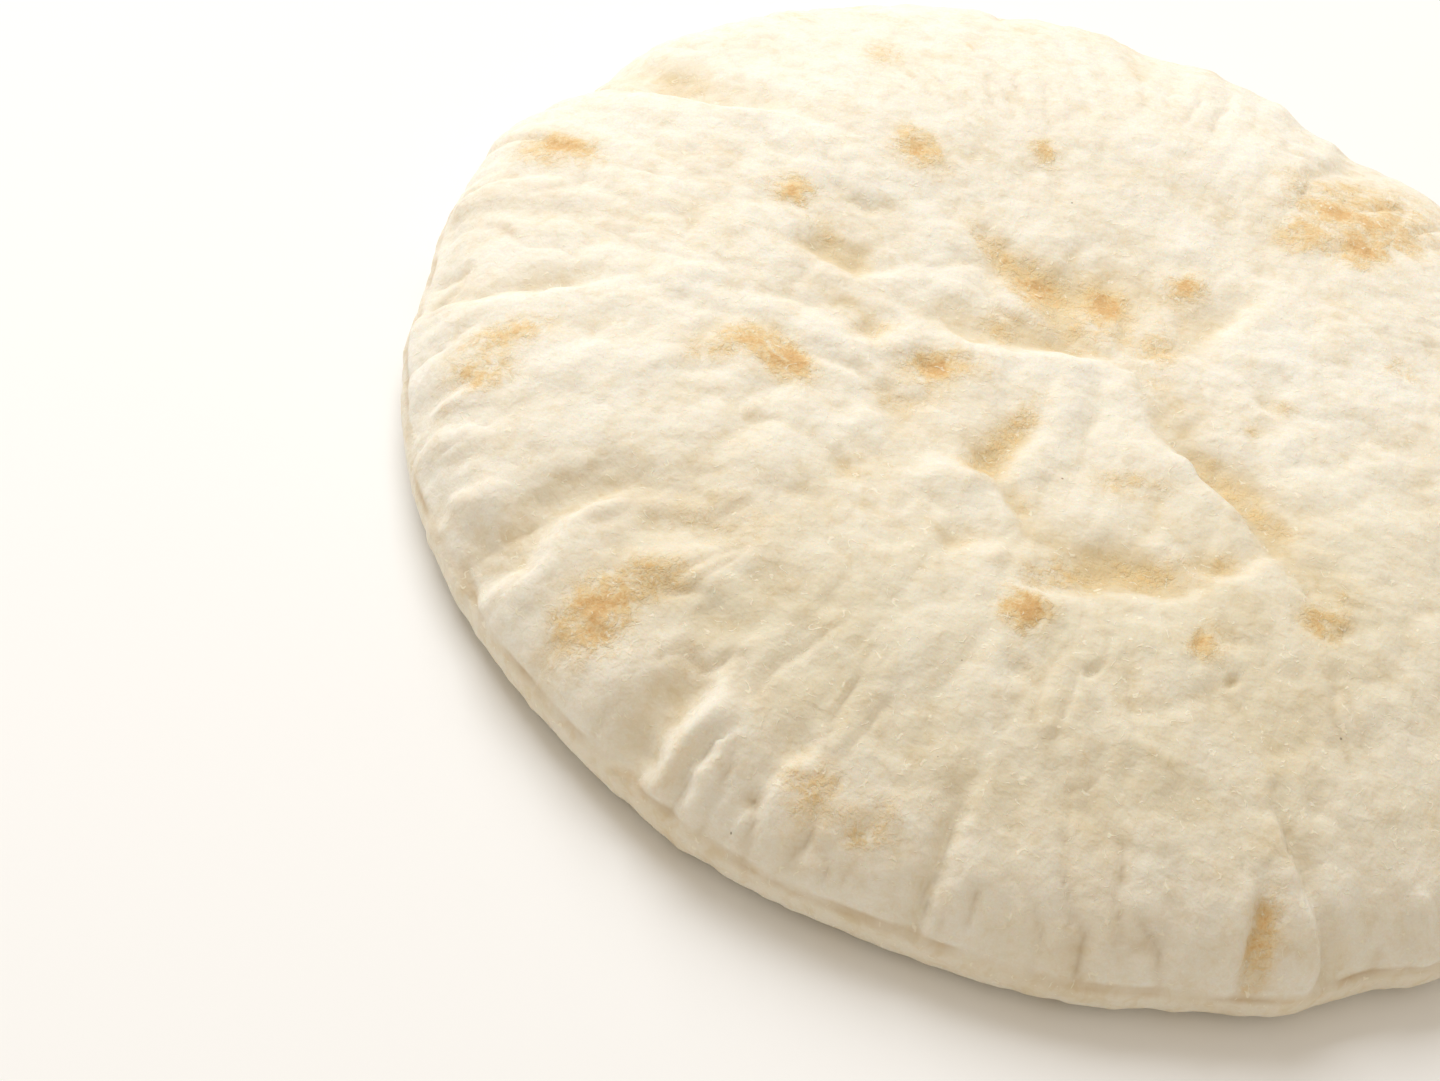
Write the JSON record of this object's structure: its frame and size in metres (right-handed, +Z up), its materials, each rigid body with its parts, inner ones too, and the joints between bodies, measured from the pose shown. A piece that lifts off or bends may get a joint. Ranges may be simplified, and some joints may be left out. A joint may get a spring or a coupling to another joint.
{
  "type": "round pocket flatbread loaf",
  "caption": "Round flat loaf with a puffed, pleated crust, a sunken folded middle, toasted spots and a flat underside to rest on.",
  "frame": {"origin": "middle of the bounding box, on the flat underside", "axes": "+Z up through the loaf's thickness, from the underside to the crust; -Y towards the side with the long straight pleat"},
  "size_m": [0.1688, 0.1696, 0.0238],
  "materials": {
    "crust": "matte"
  },
  "bodies": {
    "root": {"flatbread_loaf": "crust"}
  },
  "joints": []
}
